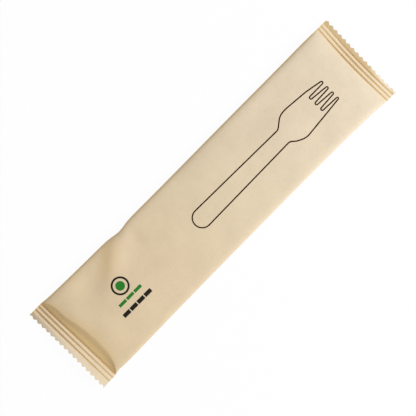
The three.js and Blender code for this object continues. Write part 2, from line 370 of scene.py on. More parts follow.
def curl(x, s):
    """Rise of the flat margins beyond the grooves towards their serrated edges."""
    handle_share = np.maximum(0, (handle_outer(s) - x) / HANDLE_BAND)
    tine_share = np.maximum(0, (x - tine_outer(s)) / TINE_BAND)
    handle_lift = HANDLE_BAND_LIFT + HANDLE_BAND_TWIST * s
    tine_lift = TINE_BAND_LIFT * tine_lift_share(s) + TINE_CORNER_LIFT * tine_corner_share(s)
    droop = HANDLE_BAND_DROOP * handle_share ** 2 + TINE_BAND_DROOP * tine_share ** 2
    return handle_lift * handle_share ** BAND_CURVE + tine_lift * tine_share ** BAND_CURVE - droop


def web_height(x, s):
    """Middle plane of the web, where the top and the back meet in the seals and folds."""
    from_handle = x - handle_inner(s)
    from_tine = tine_inner(s) - x
    in_seal = 1 - ease_out(np.minimum(from_handle, from_tine) / SEAL_RUN, BRISK)
    tine_seal_height = TINE_SEAL_HEIGHT + TINE_SEAL_RISE * smooth_step(-s)
    seal_height = np.where(from_handle < from_tine, HANDLE_SEAL_HEIGHT, tine_seal_height)
    handle_tilt = (HANDLE_SEAL_TILT + HANDLE_TILT_TWIST * s) * np.maximum(0, -from_handle)
    tilt = handle_tilt + TINE_SEAL_TILT * np.maximum(0, -from_tine)
    arch = SEAL_ARCH * (1 - s * s)
    level = FOLD_HEIGHT + (seal_height - FOLD_HEIGHT + arch) * in_seal
    return level + tilt + crimp(x, s) + curl(x, s)


def fullness(x, s):
    """How full the pillow stands, from 0 in a seal to 1 in the body."""
    inside = x - handle_inner(s)
    wall = smooth_step(np.clip(inside / wall_run(s), 0, 1) ** WALL_LEAN)
    ramp = ease_out(inside / HANDLE_RAMP_RUN, BRISK)
    wall_share = HANDLE_WALL_RISE / FACE_RISE
    tine_ramp = ease_out((tine_inner(s) - x) / TINE_RAMP_RUN, BRISK)
    return (wall_share * wall + (1 - wall_share) * ramp) * tine_ramp


def from_soft_fold(x, y):
    """Distance from the soft fold's ridge, negative towards the handle end, and the fold's strength
    there, from 0 where it has died out to 1 at its peak."""
    start_x = HANDLE_X + PINCH_FROM_HANDLE - SOFT_FOLD_OFFSET
    start_y = FOLD_Y - SOFT_FOLD_INSET
    length = math.hypot(SOFT_FOLD_RUN, SOFT_FOLD_DROP)
    along_x, along_y = -SOFT_FOLD_RUN / length, -SOFT_FOLD_DROP / length
    travelled = ((x - start_x) * along_x + (y - start_y) * along_y) / length
    sideways = along_x * (y - start_y) - along_y * (x - start_x)
    return sideways, bell(travelled - SOFT_FOLD_PEAK, SOFT_FOLD_FADE)


def soft_fold(x, y):
    """Fold from the pinch: steep towards the handle end, gentle towards the tine end."""
    sideways, strength = from_soft_fold(x, y)
    flank = np.where(sideways < 0, SOFT_FOLD_STEEP, SOFT_FOLD_GENTLE)
    return SOFT_FOLD_RISE * bell(sideways, flank) * strength


def cockle(x, y):
    """The low waves in the loose paper."""
    height = 0 * x
    for wave_length, degrees, phase, amplitude in COCKLES:
        turn = math.radians(degrees)
        travelled = x * math.cos(turn) + y * math.sin(turn)
        height = height + amplitude * np.sin(2 * math.pi * travelled / wave_length + phase)
    return height


def printed_face(x, s):
    """Height of the printed face, with its crown, folds, dents and waves."""
    across = np.abs(s)
    crown = CROWN_RISE * (1 - across ** CROWN_FULLNESS)
    crown = crown + by_side(s, SHOULDER_RISES) * (1 - across ** by_side(s, SHOULDER_FULLNESS))
    crown = crown + by_side(s, TURN_RISES) * (1 - across ** TURN_FULLNESS)
    y = y_at(x, s)
    relief = soft_fold(x, y) + cockle(x, y) * fullness(x, s)
    for from_handle, inset, depth, half_length, half_width in DENTS:
        from_centre = x - HANDLE_X - from_handle
        relief = relief - depth * bell(from_centre, half_length) * bell(FOLD_Y - y - inset, half_width)
    relief = relief * (1 - s ** RELIEF_FULLNESS)
    return web_height(x, s) + PAPER_THICKNESS + crown * fullness(x, s) + relief


def back_down(x, s):
    """How far the back has come down to the table, from 0 in a seal to 1 in the body."""
    inside = np.minimum(x - handle_inner(s), tine_inner(s) - x)
    return ease_out(inside / BACK_RAMP_RUN, BRISK)


def back_face(x, s):
    """Height of the back panel, which lies flat along the middle of the body."""
    flat_share = BACK_FLAT / PILLOW_WIDTH
    beyond = np.maximum(0, (np.abs(s) - flat_share) / (1 - flat_share))
    return (web_height(x, s) - PAPER_THICKNESS) * (1 - (1 - beyond ** 2) * back_down(x, s))


def fin_layers(x, s):
    """Heights of the back panel over the fin and of the fin's two faces."""
    down = back_down(x, s)
    gap = FIN_SEAL_GAP + (FIN_GAP - FIN_SEAL_GAP) * down
    stack = gap + 2 * PAPER_THICKNESS
    from_seam = y_at(x, 0 * s) - y_at(x, s)
    ride = ease_out(1 - (from_seam - FIN_WIDTH) / FIN_RIDE_RUN)
    panel = back_face(x, s) + stack * down * ride
    return panel, panel - gap, panel - stack


# Steps of the mesh
STEPS_PER_TOOTH = 4
HANDLE_WHOLE_STEPS = 32  # quarter teeth on each side of the middle
TINE_WHOLE_STEPS = 31
HANDLE_FOLD_STEPS = 6  # from the last quarter tooth to a side fold
TINE_FOLD_STEPS = 7
STEPS_PER_GROOVE = 14
HANDLE_BAND_STEPS = 9
TINE_BAND_STEPS = 6
WALL_STEPS = 12
PILLOW_STEP = 0.65
RAMP_SPREAD = 1.25  # exponent: how much closer the lines lie beside the wall's crest
FIN_WHOLE_STEPS = 13
FIN_FIRST_STEPS = (0, 1)  # quarter teeth from Y = 0 to the fin's first column, at each end


def width_shares(half, middle, whole_steps, fold_steps):
    """Shares of the width with a sample at every tooth tip and valley, and closer near the folds."""
    step = TOOTH_PITCH / STEPS_PER_TOOTH
    inner = (np.arange(-whole_steps, whole_steps + 1) * step - middle) / half
    reach = np.sin(np.linspace(0, math.pi / 2, fold_steps + 1))[1:]
    left = inner[0] + (-1 - inner[0]) * reach
    right = inner[-1] + (1 - inner[-1]) * reach
    return np.concatenate([left[::-1], inner, right])


def fin_distances(middle, first_step):
    """Distances from the seam, across the fin, with a sample at every tooth tip and valley."""
    step = TOOTH_PITCH / STEPS_PER_TOOTH
    whole = (np.arange(FIN_WHOLE_STEPS) + first_step) * step + middle
    return np.concatenate([[-FIN_ROOT], whole, [FIN_WIDTH]])


def stations():
    """One line across the pack for each station, from the handle end's cut to the tine end's."""
    lines = []

    def between(start, end, steps, spread=lambda share: share):
        for i in range(steps):
            share = spread(i / steps)
            lines.append(lambda s, a=start, b=end, k=share: a(s) + (b(s) - a(s)) * k)

    crimp_steps = round(TINE_CRIMP_RUN / TINE_GROOVE_PITCH * STEPS_PER_GROOVE)
    middle_run = PILLOW_LENGTH - HANDLE_RAMP_RUN - TINE_RAMP_RUN
    between(handle_edge, handle_outer, HANDLE_BAND_STEPS)
    between(handle_outer, handle_inner, crimp_steps)
    between(handle_inner, handle_crest, WALL_STEPS)
    ramp_steps = round(HANDLE_RAMP_RUN / PILLOW_STEP)
    between(handle_crest, ramp_end, ramp_steps, lambda share: share ** RAMP_SPREAD)
    between(ramp_end, ramp_start, round(middle_run / PILLOW_STEP))
    between(ramp_start, tine_inner, round(TINE_RAMP_RUN / PILLOW_STEP))
    between(tine_inner, tine_outer, crimp_steps)
    between(tine_outer, tine_edge, TINE_BAND_STEPS)
    lines.append(tine_edge)
    return lines


def share_along(line):
    """Share of the pillow's length at a line across the pack: 0 at the handle end, 1 at the tines."""
    return np.clip((line(0.0) - HANDLE_X) / PILLOW_LENGTH, 0, 1)


# How far pressing and painted shade show in the paper's colour, for each kind of crease
# Painted shade on each groove's flank that faces away from the lamp
GROOVE_SHADE_TINT = 0.85
SHADED_FLANK = 0.35  # mm from a groove's bottom to its flank that faces away from the lamp, where the shade is painted
CRIMP_TINT = 0.12  # of the crests between the tine end's grooves
# Painted shade on the handle end's wall, which faces away from the lamp
WALL_SHADE_TINT = 0.9
WALL_FADE_START = 0.25  # share of the wall's run where its painted shade begins to fade
WALL_FADE_RUN = 1.6
MARGIN_SHADE_TINT = 0.85  # painted shade on the tine end's lifted margin beside its grooves, which faces away from the lamp
MARGIN_BLUR = 1 / 3  # share of the margin's width over which that tint begins
MARGIN_FADE = 0.4  # share of that which is gone at its edge
HANDLE_MARGIN_SHADE_TINT = 0.7  # painted shade on the handle end's drooping margin, at the +Y corner
# Painted shade on the soft fold's steep flank, which faces away from the lamp
SOFT_FOLD_SHADE_TINT = 0.5
SOFT_FOLD_FLANK = 0.7  # share of the steep flank's width from the ridge to the middle of that painted shade
SIDE_FOLD_SHADE_TINT = 0.8  # painted shade along the +Y side fold, which slopes away from the lamp
SIDE_SHADE_START = 0.93  # share of the width where the painted shade of that side fold begins


def pressed_and_painted_shade(x, s):
    """How much pressing and painted shade darken the paper, from 0 to 1: painted shade on the grooves'
    flanks that face away from the lamp, on the handle end's wall, on the tine end's lifted margin and
    the handle end's drooping +Y corner, on the soft fold's steep flank and along the +Y side fold, and
    pressing on the tine end's seal."""
    inside = x - handle_inner(s)
    faded = smooth_step((inside / wall_run(s) - WALL_FADE_START) / WALL_FADE_RUN)
    wall = np.where(inside > 0, 1 - faded, 0)
    crimped = smooth_step(x - tine_inner(s) + GROOVE_WIDTH / 2) * smooth_step(tine_outer(s) - x)
    margin_share = (x - tine_outer(s)) / TINE_BAND
    margin = np.clip(margin_share / MARGIN_BLUR + 0.5, 0, 1)
    margin = margin * np.maximum(tine_lift_share(s), tine_corner_share(s))
    margin = margin * (1 - MARGIN_FADE * np.clip(margin_share, 0, 1))
    drooped = smooth_step(s) * np.clip((handle_outer(s) - x) / HANDLE_BAND, 0, 1) ** 2
    from_ridge, strength = from_soft_fold(x, y_at(x, s))
    soft = bell(from_ridge + SOFT_FOLD_STEEP * SOFT_FOLD_FLANK, SOFT_FOLD_STEEP) * strength
    side = smooth_step((s - SIDE_SHADE_START) / (1 - SIDE_SHADE_START))
    return np.maximum.reduce([
        GROOVE_SHADE_TINT * groove_share(x - SHADED_FLANK, s), CRIMP_TINT * crimped, WALL_SHADE_TINT * wall,
        MARGIN_SHADE_TINT * margin, HANDLE_MARGIN_SHADE_TINT * drooped, SOFT_FOLD_SHADE_TINT * soft,
        SIDE_FOLD_SHADE_TINT * side,
    ])


def pack_grid(handle_middle, handle_half, tine_middle, tine_half):
    """X and share of the width for each station and column of the paper."""
    at_handle = width_shares(handle_half, handle_middle, HANDLE_WHOLE_STEPS, HANDLE_FOLD_STEPS)
    at_tine = width_shares(tine_half, tine_middle, TINE_WHOLE_STEPS, TINE_FOLD_STEPS)
    lines = stations()
    shares = [at_handle * (1 - share_along(line)) + at_tine * share_along(line) for line in lines]
    return np.array([line(s) for line, s in zip(lines, shares)]), np.array(shares)


def fin_grid(tine_middle):
    """X and share of the width for each station and column of the fin."""
    at_handle = fin_distances(0, FIN_FIRST_STEPS[0])  # the middle line is at Y = 0 there, to 0.01 mm
    at_tine = fin_distances(tine_middle, FIN_FIRST_STEPS[1])
    xs, shares = [], []
    for line in stations():
        distance = at_handle * (1 - share_along(line)) + at_tine * share_along(line)
        s = -distance / flare(line(0.0))[0]
        xs.append(line(s))
        shares.append(s)
    return np.array(xs), np.array(shares)


def sheet_faces(rows, columns, first, flip=False):
    """Quads of a grid of vertices that starts at the given index."""
    faces = []
    for j in range(rows - 1):
        for i in range(columns - 1):
            a = first + j * columns + i
            quad = (a, a + columns, a + columns + 1, a + 1)
            faces.append(quad[::-1] if flip else quad)
    return faces


def closed_sheet(x, y, top, bottom, first):
    """Vertices and faces of a closed slab between two heights over the same grid."""
    rows, columns = x.shape
    below = first + rows * columns
    points = [np.stack([x, y, z], -1).reshape(-1, 3) for z in (top, bottom)]
    faces = sheet_faces(rows, columns, first) + sheet_faces(rows, columns, below, flip=True)
    for j in range(rows - 1):
        for i in (0, columns - 1):
            a = j * columns + i
            b = a + columns
            quad = (first + a, below + a, below + b, first + b)
            faces.append(quad if i == 0 else quad[::-1])
    for i in range(columns - 1):
        for j in (0, rows - 1):
            a = j * columns + i
            quad = (first + a, first + a + 1, below + a + 1, below + a)
            faces.append(quad if j == 0 else quad[::-1])
    return points, faces


def new_piece(name, points, faces, sharp_degrees):
    """A smooth object from vertices in millimetres."""
    mesh = bpy.data.meshes.new(name)
    mesh.from_pydata((points * MM).tolist(), [], faces)
    mesh.validate()
    mesh.shade_smooth()
    mesh.set_sharp_from_angle(angle=math.radians(sharp_degrees))
    mesh.update()
    piece = bpy.data.objects.new(name, mesh)
    bpy.context.scene.collection.objects.link(piece)
    return piece


def set_attribute(piece, name, values):
    """Gives each vertex a number that the material reads."""
    layer = piece.data.attributes.new(name, "FLOAT", "POINT")
    layer.data.foreach_set("value", np.asarray(values, np.float32).ravel())


def root_share(x, s):
    """How far a point lies past the seam line towards +Y, from 0 to 1 over the fin's root."""
    return np.clip((y_at(x, s) - y_at(x, 0 * s)) / (2 * FIN_ROOT) + 0.5, 0, 1)


def body_sheet(x, s):
    """Vertices and faces of the folded web without its fin."""
    lifted = fin_layers(x, s)[0] - back_face(x, s)
    back = back_face(x, s) + lifted * (1 - root_share(x, s))
    return closed_sheet(x, y_at(x, s), printed_face(x, s), back, 0)


def fin_sheet(x, s, first):
    """Vertices and faces of the fin, whose root is sunk in the back panel."""
    panel, upper, lower = fin_layers(x, s)
    root = root_share(x, s)
    sunk = PAPER_THICKNESS / 2
    upper = upper + (panel + sunk - upper) * np.where(root > 0, 1, 0)
    lower = lower + (back_face(x, s) + sunk - lower) * root
    return closed_sheet(x, y_at(x, s), upper, lower, first)


def paper_sachet():
    """The web, folded and sealed, with the fin under its back, as one piece. Also gives how far
    the loft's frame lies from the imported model's."""
    handle_half, handle_middle = flare(handle_cut(0.0))
    tine_half, tine_middle = flare(tine_cut(0.0))
    x, s = pack_grid(handle_middle, handle_half, tine_middle, tine_half)
    body_points, body_faces = body_sheet(x, s)
    fin_x, fin_s = fin_grid(tine_middle)
    first = 2 * x.size
    fin_points, fin_faces = fin_sheet(fin_x, fin_s, first)

    points = np.concatenate(body_points + fin_points)
    low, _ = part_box("wrapped_fork")
    shift = np.array([low.x / MM - points[:, 0].min(), 0, low.z / MM - points[:, 2].min()])
    sachet = new_piece("paper_sachet", points + shift, body_faces + fin_faces, SHARP_PAPER)
    # Pressing and painted shade for each vertex, which the paper's material reads
    on_body, on_fin = pressed_and_painted_shade(x, s), pressed_and_painted_shade(fin_x, fin_s)
    set_attribute(sachet, "pressed_and_painted_shade", np.concatenate([on_body, on_body, on_fin, on_fin], None))
    set_attribute(sachet, "fin", np.arange(len(points)) >= first)
    return sachet, shift


# Printed fork, drawn at real size. X runs from the handle to the tines, as on the pack.
FORK_LINE = 0.68
FORK_END_X = -14.05
FORK_END_TOP_Y = 3.8
FORK_END_BOTTOM_Y = -6.15
FORK_END_ROUND = 4.9
NECK = [(47.9, 2.85, 3.0), (47.9, -5.3, 3.0)]  # each corner is (x, y, radius)
BOWL_TOP = [(53.5, 7.2, 7.0), (57.8, 7.45, 14.0), (70.8, 6.35, 40.0)]
BOWL_BOTTOM = [(55.1, -9.9, 9.0), (50.5, -7.6, 6.0)]
TINE_TIP_X = 80.15
TIP_TOP_Y = 4.6
TIP_BOTTOM_Y = -7.45
TIP_ROUND = 0.55
TIP_WIDTH = 1.2
SLOT_BASE_X = 69.95
SLOT_WIDTH = 1.4
SLOT_ROUND = 0.65
SLOT_COUNT = 3
FIRST_SLOT_Y = 2.6
SLOT_SPACING = 3.97
FIRST_TIP_Y = 3.95
TIP_SPACING = 3.66


def rounded_outline(corners):
    """Points of a closed outline whose corners (x, y, radius) are rounded with arcs."""
    outline = []
    count = len(corners)
    for i, (px, py, radius) in enumerate(corners):
        corner = np.array([px, py])
        before = np.array(corners[i - 1][:2]) - corner
        after = np.array(corners[(i + 1) % count][:2]) - corner
        before = before / np.linalg.norm(before)
        after = after / np.linalg.norm(after)
        half_angle = math.acos(np.clip(before @ after, -1, 1)) / 2
        bisector = (before + after) / np.linalg.norm(before + after)
        centre = corner + bisector * radius / math.sin(half_angle)
        start = corner + before * radius / math.tan(half_angle) - centre
        end = corner + after * radius / math.tan(half_angle) - centre
        swept = math.atan2(start[0] * end[1] - start[1] * end[0], start @ end)
        steps = max(ARC_STEPS, math.ceil(abs(swept) * radius / INK_STEP))
        for k in range(steps + 1):
            turn = swept * k / steps
            outline.append(centre + (
                start[0] * math.cos(turn) - start[1] * math.sin(turn),
                start[0] * math.sin(turn) + start[1] * math.cos(turn),
            ))
    return np.array(outline)


def fork_outline():
    """The fork's outline, from the handle's end round by its upper side."""
    corners = [(FORK_END_X, FORK_END_TOP_Y, FORK_END_ROUND), NECK[0]] + BOWL_TOP
    for k in range(SLOT_COUNT + 1):
        tip = FIRST_TIP_Y - TIP_SPACING * k
        upper = TIP_TOP_Y if k == 0 else tip + TIP_WIDTH / 2
        lower = TIP_BOTTOM_Y if k == SLOT_COUNT else tip - TIP_WIDTH / 2
        corners.append((TINE_TIP_X, upper, TIP_ROUND))
        corners.append((TINE_TIP_X, lower, TIP_ROUND))
        if k < SLOT_COUNT:
            base = FIRST_SLOT_Y - SLOT_SPACING * k
            corners.append((SLOT_BASE_X, base + SLOT_WIDTH / 2, SLOT_ROUND))
            corners.append((SLOT_BASE_X, base - SLOT_WIDTH / 2, SLOT_ROUND))
    corners += BOWL_BOTTOM + [NECK[1], (FORK_END_X, FORK_END_BOTTOM_Y, FORK_END_ROUND)]
    return rounded_outline(corners)


def resampled(line, closed):
    """The same line with a point at every ink step."""
    if closed:
        line = np.concatenate([line, line[:1]])
    lengths = np.linalg.norm(np.diff(line, axis=0), axis=1)
    travelled = np.concatenate([[0], np.cumsum(lengths)])
    count = round(travelled[-1] / INK_STEP)
    places = np.linspace(0, travelled[-1], count + 1)[:count + (0 if closed else 1)]
    return np.stack([np.interp(places, travelled, line[:, k]) for k in (0, 1)], -1)


def surface_height(x, y, shift):
    """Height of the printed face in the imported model's frame."""
    loft_x = x - shift[0]
    return printed_face(loft_x, share_at(loft_x, y)) + shift[2]


def ink_ribbon(line, width, shift, closed):
    """Vertices and faces of a thin closed ribbon of ink along a line on the printed face."""
    line = resampled(line, closed)
    if closed:
        ahead, behind = np.roll(line, -1, 0), np.roll(line, 1, 0)
    else:
        ahead, behind = np.concatenate([line[1:], line[-1:]]), np.concatenate([line[:1], line[:-1]])
    along = ahead - behind
    along = along / np.linalg.norm(along, axis=1)[:, None]
    across = np.stack([-along[:, 1], along[:, 0]], -1) * width / 2
    corners = []
    for side, rise in ((1, INK_RISE), (-1, INK_RISE), (-1, -INK_DEPTH), (1, -INK_DEPTH)):
        place = line + across * side
        height = surface_height(place[:, 0], place[:, 1], shift) + rise
        corners.append(np.column_stack([place, height]))
    points = np.stack(corners, 1).reshape(-1, 3)
    count = len(line)
    faces = []
    for j in range(count if closed else count - 1):
        a, b = 4 * j, 4 * ((j + 1) % count)
        for k in range(4):
            n = (k + 1) % 4
            faces.append((a + k, a + n, b + n, b + k))
    if not closed:
        faces.append((3, 2, 1, 0))
        last = 4 * (count - 1)
        faces.append((last, last + 1, last + 2, last + 3))
    return points, faces


def circle(x, y, radius):
    """Points of a circle, with a point at every ink step."""
    steps = math.ceil(2 * math.pi * radius / INK_STEP)
    angles = np.linspace(0, 2 * math.pi, steps, endpoint=False)
    return np.stack([x + radius * np.cos(angles), y + radius * np.sin(angles)], -1)


def ink_piece(name, shapes):
    """One piece of ink from the vertices and faces of its shapes."""
    points, faces, first = [], [], 0
    for shape_points, shape_faces in shapes:
        points.append(shape_points)
        faces += [tuple(first + i for i in face) for face in shape_faces]
        first += len(shape_points)
    return new_piece(name, np.concatenate(points), faces, SHARP_INK)


# Generic mark: a disc in a ring over two rows of plain dashes
MARK_X = -61.4
DISC_Y = 3.9
RING = (MARK_X, DISC_Y, 4.2)  # x, y, radius
RING_LINE = 1.0
DISC = (MARK_X, DISC_Y, 2.4)
DISC_RINGS = 5
DISC_TURNS = 40
DASH_GAP = 0.55
DARK_DASHES = (-8.1, 2.1, 4, 4.3)  # y, width, count, length of each
GREEN_DASHES = (-3.1, 1.6, 3, 4.6)


def ink_disc(x, y, radius, shift):
    """Vertices and faces of a thin closed disc of ink on the printed face."""
    rings = np.linspace(0, radius, DISC_RINGS + 1)[1:]
    angles = np.linspace(0, 2 * math.pi, DISC_TURNS, endpoint=False)
    around = np.stack([np.cos(angles), np.sin(angles)], -1)
    place = np.concatenate([[[0, 0]]] + [around * r for r in rings]) + (x, y)
    height = surface_height(place[:, 0], place[:, 1], shift)
    layers = [np.column_stack([place, height + rise]) for rise in (INK_RISE, -INK_DEPTH)]
    points = np.concatenate(layers)
    below = len(place)
    faces = []
    for k in range(DISC_TURNS):
        n = (k + 1) % DISC_TURNS
        faces.append((0, 1 + k, 1 + n))
        faces.append((below, below + 1 + n, below + 1 + k))
        for ring in range(DISC_RINGS - 1):
            a, b = 1 + ring * DISC_TURNS, 1 + (ring + 1) * DISC_TURNS
            faces.append((a + k, b + k, b + n, a + n))
            faces.append((below + a + k, below + a + n, below + b + n, below + b + k))
        rim = 1 + (DISC_RINGS - 1) * DISC_TURNS
        faces.append((rim + k, below + rim + k, below + rim + n, rim + n))
    return points, faces


def dashes(row, shift):
    """Vertices and faces of each dash in a row centred on the mark."""
    y, width, count, length = row
    pitch = length + DASH_GAP
    shapes = []
    for k in range(count):
        middle = MARK_X + (k - (count - 1) / 2) * pitch
        line = np.array([[middle - length / 2, y], [middle + length / 2, y]])
        shapes.append(ink_ribbon(line, width, shift, False))
    return shapes


def linear(hex_colour):
    """Linear colour from an sRGB hex value."""
    channels = [int(hex_colour[i:i + 2], 16) / 255 for i in (1, 3, 5)]
    return [c / 12.92 if c <= 0.04045 else ((c + 0.055) / 1.055) ** 2.4 for c in channels] + [1.0]


COLOUR_A, COLOUR_B, COLOUR_OUT = 6, 7, 2  # a Mix node's sockets for colours


def add(tree, kind, links=None, values=None, **settings):
    """Adds a node with its settings. Links and values are keyed by the name or index of a socket."""
    node = tree.nodes.new(kind)
    for key, value in settings.items():
        setattr(node, key, value)
    for key, value in (values or {}).items():
        node.inputs[key].default_value = value
    for key, socket in (links or {}).items():
        tree.links.new(socket, node.inputs[key])
    return node


def new_material(name):
    """A material and its empty node tree."""
    material = bpy.data.materials.new(name)
    material.use_nodes = True
    tree = material.node_tree
    tree.nodes.clear()
    return material, tree


def millimetres(tree):
    """The piece's own coordinates in millimetres."""
    place = add(tree, "ShaderNodeTexCoord")
    return add(tree, "ShaderNodeVectorMath", {0: place.outputs["Object"]}, {"Scale": 1 / MM},
               operation="SCALE").outputs[0]


# Kraft paper
# The handle end's tone is painted shade, warmer where less of the lamp's light falls; the tine end's is
# the sheet's own
KRAFT_SHADED_AT_HANDLE = "#E3CCA7"
KRAFT_AT_TINES = "#E1D1B7"
# Colour of pressed paper and of the painted shade on creases
KRAFT_PRESSED_AND_SHADED = "#E0BF85"
KRAFT_FIBRE = "#C9B088"
FIBRE_LENGTH = 3.2  # mm
FIBRE_WIDTH = 0.5  # real fibres are 0.03 mm wide: drawn as coarse as the render can show
FIBRE_TURNS = (12, 63, 118, 161)  # degrees
FIBRE_NOISE = (0.58, 0.78)  # values of the noise where a fibre begins to show, and where it is whole
FIBRE_SHOWN = 0.16  # share of a fibre's colour that shows in the sheet's
CLOUD_SIZE = 9.0  # mm, of the thick and thin places in the sheet
CLOUD_NOISE = (0.3, 0.7)  # values of the noise in the thickest and in the thinnest places
CLOUD_DEPTH = 0.06  # how much darker the thick ones are
TONE_FROM_X = -90.0  # where the painted shade towards the handle end begins to fade, and where it is gone
TONE_TO_X = 90.0
SEAL_TONE_FROM_X = -94.5  # where a painted sheen begins to pale the handle end's seal, and where it is whole
SEAL_TONE_TO_X = -97.0
SEAL_PAINTED_SHEEN = 0.8  # share of the painted sheen on that seal, between the handle end's painted shade and the tine end's tone
TOOTH_SIZE = 0.35  # mm, of the roughness of the sheet's face
KNURL_PITCH = 1.25  # mm, of the wheels that close the fin
KNURL_GAIN = 8.0  # height of the knurl against that of the fibres
WAVE_PERIOD = math.pi / 10  # of Blender's wave bands at a scale of 1
RELIEF_HEIGHT = 0.012  # mm, of the fibres and of that roughness
RELIEF_STRENGTH = 0.35

# Ink: (colour, gloss)
BROWN_INK = ("#2A0D02", 0.0)
BLACK_INK = ("#141110", 0.1)
GREEN_INK = ("#1F7A26", 0.15)
PAPER_UNDER_INK = "#CDB891"
INK_NOISE = (0.35, 0.8)  # values of the noise where the ink begins to thin, and where it is thinnest
INK_LOSS = 0.04  # share of the paper's colour that shows there


def fibres(tree, place):
    """Sum of fibre layers that lie in several directions, from 0 to about 1."""
    total = None
    for turn in FIBRE_TURNS:
        # Each layer has its own place in the noise, so that no two look alike
        turned = add(tree, "ShaderNodeMapping", {0: place},
                     {"Rotation": (0, 0, math.radians(turn)), "Location": (turn, 3 * turn, 0)})
        stretched = add(tree, "ShaderNodeVectorMath", {0: turned.outputs[0]},
                        {1: (1 / FIBRE_LENGTH, 1 / FIBRE_WIDTH, 1 / FIBRE_LENGTH)},
                        operation="MULTIPLY")
        noise = add(tree, "ShaderNodeTexNoise", {"Vector": stretched.outputs[0]},
                    {"Scale": 1.0, "Detail": 1.0, "Roughness": 0.5})
        strand = add(tree, "ShaderNodeMapRange", {0: noise.outputs[0]},
                     {"From Min": FIBRE_NOISE[0], "From Max": FIBRE_NOISE[1]})
        if total is None:
            total = strand.outputs[0]
        else:
            both = add(tree, "ShaderNodeMath", {0: total, 1: strand.outputs[0]}, operation="ADD")
            total = both.outputs[0]
    return total


def kraft_sheet(tree, place, strands):
    """Colour of the sheet before pressing and the painted shade on creases, with painted shade towards
    the handle end and a painted sheen on the handle end's seal.
    """
    # Painted shade: warmer towards the handle end, fading towards the tines; a painted sheen pales the
    # handle end's seal
    along = add(tree, "ShaderNodeSeparateXYZ", {0: place})
    towards_tines = add(tree, "ShaderNodeMapRange", {0: along.outputs[0]},
                        {"From Min": TONE_FROM_X, "From Max": TONE_TO_X})
    in_seal = add(tree, "ShaderNodeMapRange", {0: along.outputs[0]},
                  {"From Min": SEAL_TONE_FROM_X, "From Max": SEAL_TONE_TO_X, "To Max": SEAL_PAINTED_SHEEN})
    paler = add(tree, "ShaderNodeMath", {0: towards_tines.outputs[0], 1: in_seal.outputs[0]},
                operation="MAXIMUM")
    tone = add(tree, "ShaderNodeMix", {"Factor": paler.outputs[0]},
               {COLOUR_A: linear(KRAFT_SHADED_AT_HANDLE), COLOUR_B: linear(KRAFT_AT_TINES)},
               data_type="RGBA")
    clouds = add(tree, "ShaderNodeTexNoise", {"Vector": place},
                 {"Scale": 1 / CLOUD_SIZE, "Detail": 3.0, "Roughness": 0.55})
    cloudy = add(tree, "ShaderNodeMapRange", {0: clouds.outputs[0]},
                 {"From Min": CLOUD_NOISE[0], "From Max": CLOUD_NOISE[1], "To Min": 1 - CLOUD_DEPTH})
    sheet = add(tree, "ShaderNodeVectorMath",
                {0: tone.outputs[COLOUR_OUT], "Scale": cloudy.outputs[0]}, operation="SCALE")
    strand_share = add(tree, "ShaderNodeMath", {0: strands}, {1: FIBRE_SHOWN}, operation="MULTIPLY")
    return add(tree, "ShaderNodeMix", {"Factor": strand_share.outputs[0], COLOUR_A: sheet.outputs[0]},
               {COLOUR_B: linear(KRAFT_FIBRE)}, data_type="RGBA").outputs[COLOUR_OUT]


def kraft_relief(tree, place, strands):
    """Normal of the sheet's face: its fibres, its fine roughness and the knurl on the fin."""
    tooth = add(tree, "ShaderNodeTexNoise", {"Vector": place},
                {"Scale": 1 / TOOTH_SIZE, "Detail": 2.0, "Roughness": 0.6})
    on_fin = add(tree, "ShaderNodeAttribute", attribute_name="fin")
    knurl = add(tree, "ShaderNodeTexWave", {"Vector": place},
                {"Scale": WAVE_PERIOD / KNURL_PITCH}, wave_type="BANDS", bands_direction="X")
    knurl_height = add(tree, "ShaderNodeMath", {0: knurl.outputs[1], 1: on_fin.outputs["Fac"]},
                       operation="MULTIPLY")
    rough = add(tree, "ShaderNodeMath", {0: strands, 1: tooth.outputs[0]}, operation="ADD")
    relief = add(tree, "ShaderNodeMath", {0: knurl_height.outputs[0], 2: rough.outputs[0]},
                 {1: KNURL_GAIN}, operation="MULTIPLY_ADD")
    return add(tree, "ShaderNodeBump", {"Height": relief.outputs[0]},
               {"Strength": RELIEF_STRENGTH, "Distance": RELIEF_HEIGHT * MM}).outputs[0]


def kraft_paper():
    """Kraft paper, machine made from unbleached softwood pulp: matt, slightly cloudy, with faint
    fibres; paler towards the tine end because warm shade is painted towards the handle end, paler again
    in a painted sheen on the handle end's seal, and darker and warmer where it is pressed and where
    shade is painted on creases that face away from the lamp."""
    material, tree = new_material("kraft_paper_unbleached")
    place = millimetres(tree)
    strands = fibres(tree, place)
    # Pressing and painted shade, which mix in the darker, warmer colour
    shade_and_pressing = add(tree, "ShaderNodeAttribute", attribute_name="pressed_and_painted_shade")
    colour = add(tree, "ShaderNodeMix",
                 {"Factor": shade_and_pressing.outputs["Fac"], COLOUR_A: kraft_sheet(tree, place, strands)},
                 {COLOUR_B: linear(KRAFT_PRESSED_AND_SHADED)}, data_type="RGBA")
    shader = add(tree, "ShaderNodeBsdfPrincipled",
                 {"Base Color": colour.outputs[COLOUR_OUT],
                  "Normal": kraft_relief(tree, place, strands)},
                 {"Roughness": 0.58, "IOR": 1.5, "Specular IOR Level": 0.5})
    add(tree, "ShaderNodeOutputMaterial", {"Surface": shader.outputs[0]})
    return material


